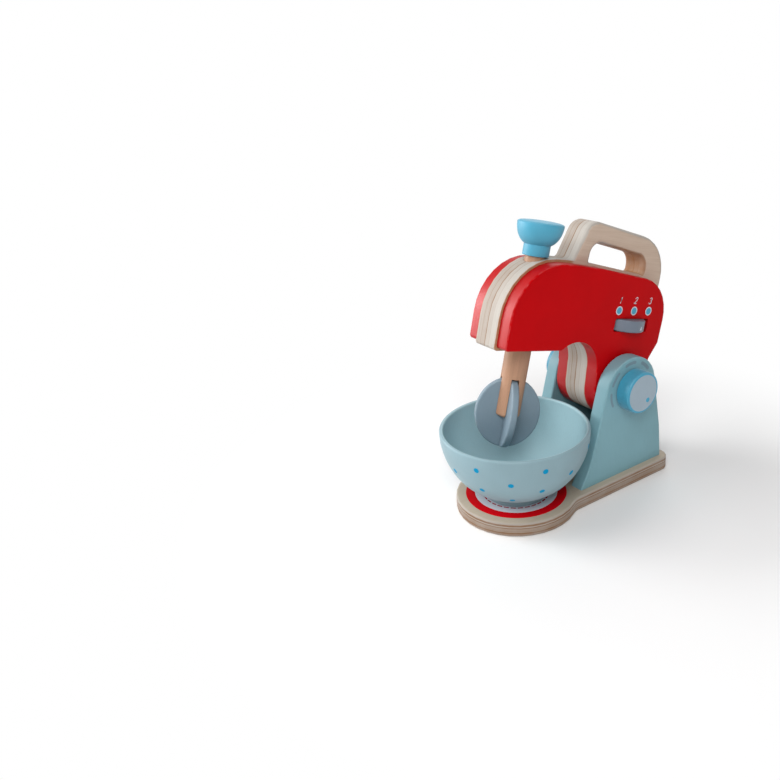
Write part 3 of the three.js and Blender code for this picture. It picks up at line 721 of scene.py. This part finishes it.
def digit_lines(digit, height):
    """Pen lines of a plain number 1, 2 or 3 of the given height, about its own middle."""
    half = height / 2
    bend = height * 0.25
    if digit == "1":
        return [[(-bend * 0.7, half * 0.55), (0, half * 0.98), (0, 0), (0, -half)]]
    if digit == "2":
        top = arc((0, half - bend), bend, 170, -30, 10)
        foot = [(-bend, -half), (0, -half), (bend, -half)]
        return [[*top, (-bend * 0.1, -half * 0.45), (-bend, -half * 0.95)], foot]
    upper = arc((0, half - bend * 0.95), bend * 0.95, 160, -80, 10)
    lower = arc((0, -half + bend * 1.05), bend * 1.05, 85, -160, 10)
    return [upper, lower]


def on_plane(place):
    """Settles flat points on the XY plane of place."""
    return lambda point, rise: place @ Vector((point[0], point[1], rise))


def placement(axes, origin):
    """The matrix that places something with its three axes at an origin."""
    return Matrix([[axis[i] for axis in axes] + [origin[i]] for i in range(3)] + [[0, 0, 0, 1]])


def side_place(face, rear=REAR, up=UP):
    """A placement over the axle on a face turned to +X or -X, whose X runs rearward and whose Y runs up."""
    outward = (math.copysign(1, face), 0, 0)
    return placement((rear, up, outward), (face, pivot.y, pivot.z))


# Operators


class MIXER_OT_base(bpy.types.Operator):
    """Varnishes the base board and prints the ring and the dashed circle under the bowl"""

    bl_idname = "mixer.base"
    bl_label = "Base board"

    def execute(self, context):
        colours = context.scene.mixer_colours
        marks = context.scene.mixer_marks
        veneer = colours.base_veneer
        board = plywood("base_plywood", colours, veneer, UP, 0, base_top, BASE_LAYERS, REAR, ACROSS)
        dress(board, "base_board")
        settle = on_plane(Matrix.Translation((0, 0, base_top)))
        ring = bmesh.new()
        film_ring(ring, (0, 0), marks.ring_inner, marks.ring_outer, settle, TURNED_STEPS)
        new_piece("base_ring", ring, printed("ink_red", colours.print_red), "stand")
        plate = bmesh.new()
        film_slab(plate, circle((0, 0), marks.ring_inner, TURNED_STEPS), settle)
        new_piece("base_place", plate, printed("ink_white", colours.print_white), "stand")
        raised = on_plane(Matrix.Translation((0, 0, base_top + FILM)))
        pitch = 360 / marks.stitch_count
        dash_share = 0.6
        stitches = bmesh.new()
        for i in range(marks.stitch_count):
            line = arc((0, 0), marks.stitch_radius, i * pitch, i * pitch + pitch * dash_share, 4)
            film_stroke(stitches, line, marks.stitch_width, raised)
        dark_red = printed("ink_red_thin", colours.print_stitch)
        new_piece("base_stitches", stitches, dark_red, "stand")
        return {"FINISHED"}


class MIXER_OT_stand(bpy.types.Operator):
    """Paints the stand's panels and spacer and prints the dashes round the dials"""

    bl_idname = "mixer.stand"
    bl_label = "Stand"

    def execute(self, context):
        colours = context.scene.mixer_colours
        marks = context.scene.mixer_marks
        paint = painted("stand_paint", colours.stand_blue, sheet_axis=ACROSS)
        dress(paint, "stand_side_left", "stand_side_right", "stand_spacer")
        grey = printed("ink_grey", colours.print_grey)
        for side, name in ((1, "dial_dashes_right"), (-1, "dial_dashes_left")):
            settle = on_plane(side_place(side * panel_face))
            dashes = bmesh.new()
            for start, stop, width in DIAL_DASHES:
                line = arc((0, 0), marks.dash_reach, start, stop, 12)
                film_stroke(dashes, line, width * MILLIMETRE, settle)
            new_piece(name, dashes, grey, "stand")
        return {"FINISHED"}


class MIXER_OT_dials(bpy.types.Operator):
    """Turns the two dials, prints their faces and finishes the axle between them"""

    bl_idname = "mixer.dials"
    bl_label = "Dials and axle"

    def execute(self, context):
        colours = context.scene.mixer_colours
        marks = context.scene.mixer_marks
        forms = context.scene.mixer_forms
        teal = painted("dial_paint", colours.teal, grain=ACROSS, dullness=0.45, specular=0.7, veil=0.3)
        face_ink = printed("ink_dial_face", colours.dial_face)
        blue_ink = printed("ink_blue_dial", colours.print_light)
        dress(turned_wood("axle_beech", colours.beech, ACROSS, REAR), "pivot_axle")
        for side, hand in ((1, "right"), (-1, "left")):
            low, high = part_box(f"dial_{hand}")
            radius = (high.z - low.z) / 2
            thickness = high.x - low.x
            inner_face, outer_face = (low.x, high.x) if side > 0 else (high.x, low.x)
            back = side_place(inner_face)
            front = side_place(outer_face)
            edge = forms.dial_round
            profile = [
                (0, forms.dial_socket_depth),
                (forms.dial_socket, forms.dial_socket_depth),
                (forms.dial_socket, 0),
                (radius - edge / 2, 0),
                *arc((radius - edge / 2, edge / 2), edge / 2, -60, 0, 4),
                *arc((radius - edge, thickness - edge), edge, 0, 90, 10),
                (0, thickness),
            ]
            dial = new_piece(f"turned_dial_{hand}", lathe(profile, back), teal, "dials")
            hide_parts(f"dial_{hand}")
            line_outer = radius - marks.face_margin
            line_inner = line_outer - marks.face_line
            face = bmesh.new()
            film_slab(face, circle((0, 0), line_inner, steps=96), on_plane(front))
            new_piece(f"dial_face_{hand}", face, face_ink, "dials")
            line = bmesh.new()
            film_ring(line, (0, 0), line_inner, line_outer, on_plane(front))
            turn = marks.pointer_angle
            spot = (marks.pointer_reach * math.cos(turn), marks.pointer_reach * math.sin(turn))
            raised = front @ Matrix.Translation((0, 0, FILM))
            film_slab(line, circle(spot, marks.pointer_radius), on_plane(raised))
            new_piece(f"dial_marks_{hand}", line, blue_ink, "dials")
        return {"FINISHED"}


class MIXER_OT_head(bpy.types.Operator):
    """Paints the head's outer layers red and varnishes the plywood layer with the handle between them"""

    bl_idname = "mixer.head"
    bl_label = "Head and handle"

    def execute(self, context):
        colours = context.scene.mixer_colours
        forms = context.scene.mixer_forms
        red = painted("head_paint", colours.red, grain=REAR, sheet_axis=ACROSS, dullness=0.38, specular=0.05,
                      edge_gloss=0.75, face=head_face)
        dress(red, "head_side_left", "head_side_right")
        low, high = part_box("head_core")
        foot, rear = forms.handle_foot, forms.grip_rear
        floor, top = forms.grip_floor, forms.grip_height

        def browned(s, face):
            """The flat strip before the handle, a line along each edge, and the inside of the finger gap."""
            from_axle = s.vector("SUBTRACT", s.here, tuple(pivot))
            back, up = s.along(head_rear, from_axle), s.along(beater_axis, from_axle)
            fade = 0.004
            line_width = 0.0007
            strip = face * (1 - s.ease(back, -foot - 0.003, -foot + 0.001))
            edge_line = s.ease(abs(s.along(ACROSS)), high.x - line_width, high.x) * (1 - face)
            below_top = 1 - s.ease(up, top - fade, top)
            over_floor = s.ease(up, floor - fade, floor)
            before_rear = 1 - s.ease(back, rear + 0.001, rear + 0.003)
            in_gap = s.ease(back, -foot + 0.014, -foot + 0.045) * before_rear * over_floor * below_top
            inside_gap = in_gap * (1 - face)
            return strip * 0.85 | edge_line * below_top * 0.85 | inside_gap * 0.8

        core = plywood("core_plywood", colours, colours.veneer, ACROSS, low.x, high.x, CORE_LAYERS, head_rear,
                       beater_axis, browned)
        dress(core, "head_core")
        return {"FINISHED"}


class MIXER_OT_switch(bpy.types.Operator):
    """Paints the thumbwheel and prints its arrow, the numbers and the lamp marks over it"""

    bl_idname = "mixer.switch"
    bl_label = "Thumbwheel switch"

    def execute(self, context):
        colours = context.scene.mixer_colours
        marks = context.scene.mixer_marks
        dress(painted("switch_paint", colours.switch, sheet_axis=UP, dullness=0.3), "speed_wheel")
        settle = on_plane(side_place(head_face, head_rear, beater_axis))
        rings, lamps, numbers = bmesh.new(), bmesh.new(), bmesh.new()
        for i, digit in enumerate("123"):
            spot = Vector((i * marks.lamp_pitch - marks.lamp_first, marks.lamp_height))
            film_ring(rings, spot, marks.lamp_inner, marks.lamp_radius, settle, steps=40)
            film_slab(lamps, circle(spot, marks.lamp_inner), settle)
            middle = spot + Vector((0, marks.digit_lift))
            for line in digit_lines(digit, marks.digit_height):
                leaning = [middle + Vector((x + y * marks.digit_slant, y)) for x, y in line]
                film_stroke(numbers, leaning, marks.digit_width, settle)
        white = printed("ink_white_head", colours.print_white)
        blue = printed("ink_blue_head", colours.print_light)
        new_piece("lamp_rings", rings, white, "head")
        new_piece("lamp_marks", lamps, blue, "head")
        new_piece("switch_numbers", numbers, white, "head")
        low, high = extent("speed_wheel", head_place)
        radius = (high.y - low.y) / 2

        def on_wheel(point, rise):
            turn = marks.arrow_turn + point[0] / radius
            across = wheel_centre.x + (radius + rise) * math.cos(turn)
            back = wheel_centre.y + (radius + rise) * math.sin(turn)
            return head_place @ Vector((across, back, low.z + marks.arrow_foot + point[1]))

        arrow = bmesh.new()
        half = marks.arrow_width / 2
        film_slab(arrow, [(-half, 0), (half, 0), (0, marks.arrow_height)], on_wheel)
        new_piece("wheel_arrow", arrow, printed("ink_white_wheel", colours.print_white), "switch")
        return {"FINISHED"}


class MIXER_OT_knob(bpy.types.Operator):
    """Turns the knob on top of the head"""

    bl_idname = "mixer.knob"
    bl_label = "Knob"

    def execute(self, context):
        colours = context.scene.mixer_colours
        forms = context.scene.mixer_forms
        low, high = extent("top_knob", beater_place)
        foot = low.z
        cup_foot = foot + forms.stem_height
        cup_top = high.z - forms.cup_crown
        radius = (high.x - low.x) / 2 - forms.cup_inset
        neck, heart, swell, edge = forms.stem_radius, forms.cup_heart, forms.cup_swell, forms.cup_round
        start = math.acos((neck - heart) / (radius - heart))
        cup_height = swell / math.sin(start)
        share = (radius - edge) / radius
        bevel = 0.0006
        profile = [
            (0, foot + forms.socket_depth),
            (forms.socket_radius, foot + forms.socket_depth),
            (forms.socket_radius, foot),
            *arc((neck - bevel, foot + bevel), bevel, -90, 0, 3),
            *oval((heart, cup_foot + swell), radius - heart, cup_height, -math.degrees(start), 0, 20),
            *arc((radius - edge, cup_top - edge), edge, 0, 90, 8),
            *oval((0, cup_top), radius * share, forms.cup_crown, 0, 90, 12)[1:],
        ]
        paint = painted("knob_paint", colours.teal, dullness=0.5, specular=0.8, veil=0.1)
        knob = new_piece("turned_knob", lathe(profile, beater_place), paint, "beater")
        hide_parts("top_knob")
        return {"FINISHED"}


class MIXER_OT_beater(bpy.types.Operator):
    """Finishes the turned beater shaft, the drive dowel and the two crossed discs"""

    bl_idname = "mixer.beater"
    bl_label = "Beater"

    def execute(self, context):
        colours = context.scene.mixer_colours
        dress(turned_wood("shaft_beech", colours.beech, beater_axis, ACROSS), "beater_shaft", "drive_dowel")
        for node, flat in (("beater_disc_a", Vector(REAR)), ("beater_disc_b", -Vector(ACROSS))):
            through = head_place.to_3x3() @ (disc_turn @ flat)
            dress(painted(f"{node}_paint", colours.grey, sheet_axis=through), node)
        return {"FINISHED"}


class MIXER_OT_bowl(bpy.types.Operator):
    """Turns the bowl and prints its dots"""

    bl_idname = "mixer.bowl"
    bl_label = "Bowl"

    def execute(self, context):
        colours = context.scene.mixer_colours
        forms = context.scene.mixer_forms
        marks = context.scene.mixer_marks
        low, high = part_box("bowl")
        rim, wall, swell = high.x, forms.bowl_wall, forms.bowl_swell
        rim_round = wall / 2
        tall = high.z - low.z - rim_round
        foot, foot_high = forms.bowl_foot_radius, forms.bowl_foot_height
        dish = 0.0015       # hollow under the foot
        ledge = 0.0012      # from the foot's side in to the start of the wall
        lower_bevel, upper_bevel = 0.0004, 0.0003
        wall_start = -math.degrees(math.acos((foot - ledge - swell) / (rim - swell)))
        profile = [
            (0, dish),
            (foot - wall - dish, dish),
            (foot - wall, 0),
            (foot - lower_bevel, 0),
            (foot, lower_bevel),
            (foot, foot_high / 2 - upper_bevel),
            (foot - upper_bevel, foot_high / 2),
            *oval((swell, tall), rim - swell, tall - foot_high, wall_start, 0, WALL_STEPS),
            *arc((rim - rim_round, tall), rim_round, 0, 180, 12)[1:-1],
            *oval((swell, tall), rim - swell - wall, tall - foot_high - wall, 0, -90, WALL_STEPS),
            (0, foot_high + wall),
        ]

        def inside(s):
            """Where the wall faces the bowl's axis: there the paint is lighter, a painted light falling into
            the bowl.
            """
            outward = s.vector("MULTIPLY", s.here, (1, 1, 0))
            return 1 - s.ease(s.along(outward, s.facing), -0.01, 0.002)

        # painted light: the bowl's inside is painted lighter than its outside, as if more light fell into it
        paint = painted("bowl_paint", colours.bowl_blue, second=(colours.bowl_inside_lit, inside))
        shape = lathe(profile, Matrix.Translation((0, 0, low.z)), steps=192)
        bowl = new_piece("turned_bowl", shape, paint, "bowl")
        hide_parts("bowl")
        mesh = bowl.data
        surface = BVHTree.FromPolygons([v.co for v in mesh.vertices], [p.vertices for p in mesh.polygons])
        dots = bmesh.new()
        for column in range(marks.dot_columns):
            turn = marks.dot_turn + math.tau * column / marks.dot_columns
            outward = Vector((math.cos(turn), math.sin(turn), 0))
            for height in DOT_ROWS[column % 2]:
                level = Vector((0, 0, low.z + height))
                outside = outward * rim * 1.5 + level
                hit, normal, _, _ = surface.ray_cast(outside, -outward)
                across = normal.cross(Vector(UP)).normalized()
                up = across.cross(normal)

                def on_bowl(point, rise, hit=hit, across=across, up=up):
                    near, facing, _, _ = surface.find_nearest(hit + across * point[0] + up * point[1])
                    return near + facing * rise

                film_slab(dots, circle((0, 0), marks.bowl_dot, steps=28), on_bowl)
        new_piece("bowl_dots", dots, printed("ink_blue_bowl", colours.print_blue), "bowl")
        return {"FINISHED"}


class MIXER_OT_fastenings(bpy.types.Operator):
    """Finishes the screws, pins, dowels and washers"""

    bl_idname = "mixer.fastenings"
    bl_label = "Fastenings"

    def execute(self, context):
        colours = context.scene.mixer_colours
        screws = [node for node in frame["nodes"] if node.startswith("base_screw")]
        dress(brushed_zinc("zinc", colours.steel), *screws, "wheel_pin")
        dress(fibre_sheet("fibre", colours.fibre), "pivot_washer_left", "pivot_washer_right")
        dowels = turned_wood("dowel_beech", colours.beech, ACROSS, REAR)
        dress(dowels, "head_dowel_nose", "head_dowel_middle", "head_dowel_rear")
        return {"FINISHED"}


class MIXER_OT_stage(bpy.types.Operator):
    """Sets up the camera, the pale floor, the lamps and the plain white surroundings"""

    bl_idname = "mixer.stage"
    bl_label = "Stage"

    def execute(self, context):
        stage = context.scene.mixer_stage
        self.camera(context, stage)
        self.lamps(context, stage)
        self.surroundings(context, stage)
        self.floor(context, stage)
        context.scene.view_settings.view_transform = "Standard"
        return {"FINISHED"}

    def camera(self, context, stage):
        data = bpy.data.cameras.new("camera")
        data.sensor_width = 36
        data.lens = stage.lens
        data.clip_start = 0.01
        camera = bpy.data.objects.new("camera", data)
        back = -Vector(stage.forward).normalized()
        up = -Vector(stage.down)
        up = (up - up.dot(back) * back).normalized()
        camera.matrix_world = placement((up.cross(back), up, back), stage.camera)
        context.scene.collection.objects.link(camera)
        context.scene.camera = camera

    def lamps(self, context, stage):
        middle = (cad_low + cad_high) / 2
        for name, spot, size, watts in (
                ("key_lamp", stage.key_place, stage.key_size, stage.key_power),
                ("front_lamp", stage.front_place, stage.front_size, stage.front_power),
                ("side_lamp", stage.side_place, stage.side_size, stage.side_power),
                ("back_lamp", stage.back_place, stage.back_size, stage.back_power)):
            data = bpy.data.lights.new(name, "AREA")
            data.shape = "DISK"
            data.size = size
            data.energy = watts
            lamp = bpy.data.objects.new(name, data)
            lamp.location = spot
            lamp.rotation_mode = "QUATERNION"
            lamp.rotation_quaternion = (middle - Vector(spot)).to_track_quat("-Z", "Y")
            context.scene.collection.objects.link(lamp)

    def surroundings(self, context, stage):
        world = bpy.data.worlds.new("surroundings")
        world.use_nodes = True
        n = Nodes(world.node_tree)
        level = stage.ambient + n.seen_directly() * (1 - stage.ambient)
        light = n.add("ShaderNodeBackground", {}, {"Color": (1, 1, 1, 1), "Strength": level})
        n.add("ShaderNodeOutputWorld", {}, {"Surface": light})
        context.scene.world = world

    def floor(self, context, stage):
        radius = 4.0
        drop = 0.0002       # keeps the floor clear of the board's underside
        under_toy = (0, 0.045, 0)
        shape = bmesh.new()
        bmesh.ops.create_circle(shape, cap_ends=True, segments=96, radius=radius)
        mesh = bpy.data.meshes.new("floor")
        shape.to_mesh(mesh)
        shape.free()
        floor = bpy.data.objects.new("floor", mesh)
        floor.location.z = -drop
        s = Shader("floor_paper")
        tooth = s.noise(900, 2)
        offset = s.vector("SUBTRACT", s.here, under_toy)
        away = s.vector("LENGTH", offset).output("Value") + tooth * 0.002
        far = s.ease(away, stage.floor_near, stage.floor_far) * s.seen_directly()
        shade = s.mix(tooth, (0.94, 0.94, 0.94), (0.96, 0.96, 0.96))
        paper = s.add("ShaderNodeBsdfDiffuse", {}, {"Color": shade})
        white = s.add("ShaderNodeEmission", {}, {"Color": (1, 1, 1, 1), "Strength": 1.0})
        surface = s.add("ShaderNodeMixShader", {}, {0: far, 1: paper, 2: white})
        s.add("ShaderNodeOutputMaterial", {}, {"Surface": surface})
        mesh.materials.append(s.material)
        context.scene.collection.objects.link(floor)


class MIXER_PT_panel(bpy.types.Panel):
    """Lists the sizes, the colours and the steps"""

    bl_label = "Toy mixer"
    bl_idname = "MIXER_PT_panel"
    bl_space_type = "VIEW_3D"
    bl_region_type = "UI"
    bl_category = "Toy mixer"

    def draw(self, context):
        for step in STEPS:
            self.layout.operator(step.bl_idname)
        for attribute, group in GROUPS.items():
            box = self.layout.box()
            box.label(text=group.__doc__)
            settings = getattr(context.scene, attribute)
            for key in group.__annotations__:
                box.prop(settings, key)


GROUPS = {
    "mixer_colours": MixerColours,
    "mixer_marks": MixerMarks,
    "mixer_forms": MixerForms,
    "mixer_stage": MixerStage,
}
STEPS = (
    MIXER_OT_base,
    MIXER_OT_stand,
    MIXER_OT_dials,
    MIXER_OT_head,
    MIXER_OT_switch,
    MIXER_OT_knob,
    MIXER_OT_beater,
    MIXER_OT_bowl,
    MIXER_OT_fastenings,
    MIXER_OT_stage,
)


def register():
    for cls in (*GROUPS.values(), *STEPS, MIXER_PT_panel):
        bpy.utils.register_class(cls)
    for attribute, group in GROUPS.items():
        setattr(bpy.types.Scene, attribute, bpy.props.PointerProperty(type=group))


def unregister():
    for attribute in GROUPS:
        delattr(bpy.types.Scene, attribute)
    for cls in reversed((*GROUPS.values(), *STEPS, MIXER_PT_panel)):
        bpy.utils.unregister_class(cls)


def main():
    register()
    bpy.ops.mixer.base()
    bpy.ops.mixer.stand()
    bpy.ops.mixer.dials()
    bpy.ops.mixer.head()
    bpy.ops.mixer.switch()
    bpy.ops.mixer.knob()
    bpy.ops.mixer.beater()
    bpy.ops.mixer.bowl()
    bpy.ops.mixer.fastenings()
    bpy.ops.mixer.stage()


if __name__ == "__main__":
    main()
